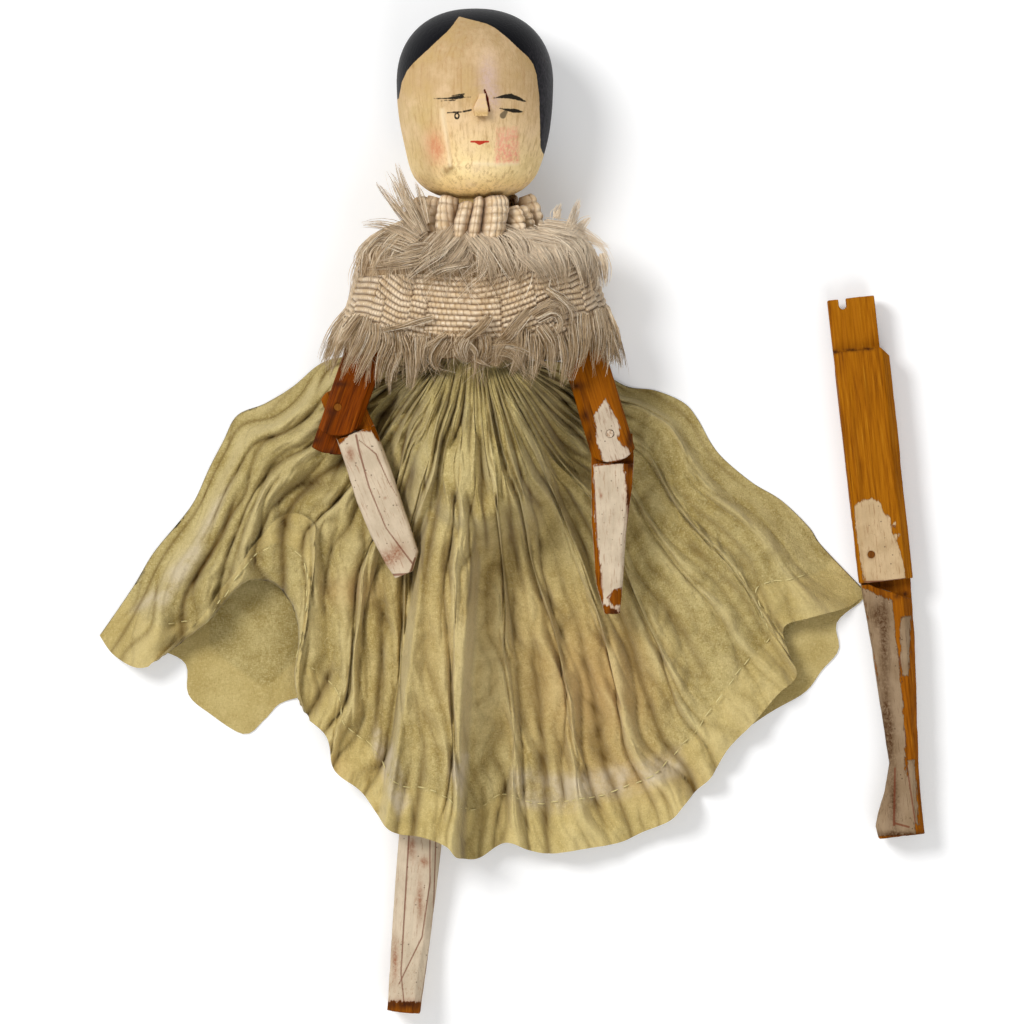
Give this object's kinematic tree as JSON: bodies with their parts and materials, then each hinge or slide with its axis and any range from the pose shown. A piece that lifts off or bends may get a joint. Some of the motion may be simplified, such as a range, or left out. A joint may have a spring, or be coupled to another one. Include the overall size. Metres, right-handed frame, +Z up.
{
  "type": "peg wooden doll",
  "caption": "Turned and pegged wooden doll in a gathered gauze skirt and fringed bodice, lying on its back beside its loose left leg.",
  "frame": {"origin": "on the surface that the doll lies on, below the middle of the doll and its loose leg", "axes": "+Y towards the crown of the head, along the doll's length; +Z up, out of the doll's face and front; -X towards the doll's right side"},
  "size_m": [0.2066, 0.2508, 0.0401],
  "materials": {
    "painted_turned_wood": "old varnished paint on turned wood, painted black hair",
    "nose_wood": "worn",
    "peg_wood": "rough cut",
    "bare_wood": "worn, oiled brown",
    "white_painted_wood": "chipped white paint over brown wood",
    "silk_gauze": "sheer olive gold gauze",
    "sewing_thread": "matt",
    "ribbed_tape": "ribbed cream silk",
    "silk_fringe": "loose taupe silk strands"
  },
  "bodies": {
    "torso": {"head_torso": "painted_turned_wood", "nose_wedge": "nose_wood", "right_shoulder_peg": "peg_wood", "left_shoulder_peg": "peg_wood", "right_hip_peg": "peg_wood", "skirt": "silk_gauze", "waist_thread": "sewing_thread", "hem_thread": "sewing_thread", "chest_band": "ribbed_tape", "chest_fringe": "silk_fringe", "neck_fringe": "silk_fringe", "neck_ruche": "ribbed_tape"},
    "right_upper_arm": {"right_upper_arm": "bare_wood", "right_elbow_peg": "peg_wood"},
    "right_forearm": {"right_forearm": "white_painted_wood"},
    "left_upper_arm": {"left_upper_arm": "bare_wood", "left_elbow_peg": "peg_wood"},
    "left_forearm": {"left_forearm": "white_painted_wood"},
    "right_thigh": {"right_thigh": "bare_wood", "right_knee_peg": "peg_wood"},
    "right_shin": {"right_shin": "white_painted_wood"},
    "left_thigh": {"left_thigh": "bare_wood", "left_knee_peg": "peg_wood"},
    "left_shin": {"left_shin": "white_painted_wood"}
  },
  "joints": [
    {"name": "right_shoulder", "type": "hinge", "parent": "torso", "child": "right_upper_arm", "pos_m": [-0.02806, 0.06478, 0.01681], "axis": [-0.9455, 0.3248, 0.0225], "range_deg": [-60, 95], "deforming": ["chest_band", "chest_fringe"]},
    {"name": "left_shoulder", "type": "hinge", "parent": "torso", "child": "left_upper_arm", "pos_m": [0.01007, 0.06474, 0.01681], "axis": [-0.9563, -0.2917, -0.0202], "range_deg": [-60, 95], "deforming": ["neck_fringe"]},
    {"name": "right_elbow", "type": "hinge", "parent": "right_upper_arm", "child": "right_forearm", "pos_m": [-0.04344, 0.02618, 0.01632], "axis": [0.017, -0.0195, 0.9997], "range_deg": [-100, 2]},
    {"name": "left_elbow", "type": "hinge", "parent": "left_upper_arm", "child": "left_forearm", "pos_m": [0.02443, 0.01957, 0.01617], "axis": [-0.0153, -0.019, 0.9997], "range_deg": [-38, 70]},
    {"name": "right_hip", "type": "hinge", "parent": "torso", "child": "right_thigh", "pos_m": [-0.01423, 0.00798, 0.01589], "axis": [-0.9954, 0.0956, 0.0066], "range_deg": [-8, 90], "deforming": ["skirt", "hem_thread"]},
    {"name": "right_knee", "type": "hinge", "parent": "right_thigh", "child": "right_shin", "pos_m": [-0.02024, -0.05425, 0.01115], "axis": [0.9954, -0.0956, -0.0066], "range_deg": [0, 25]},
    {"name": "left_leg_lift", "type": "slide", "parent": "torso", "child": "left_thigh", "axis": [0, 0, 1], "range_m": [0, 0.1]},
    {"name": "left_knee", "type": "hinge", "parent": "left_thigh", "child": "left_shin", "pos_m": [0.08979, -0.01063, 0.0055], "axis": [0, 0, 1], "range_deg": [0, 25]}
  ]
}
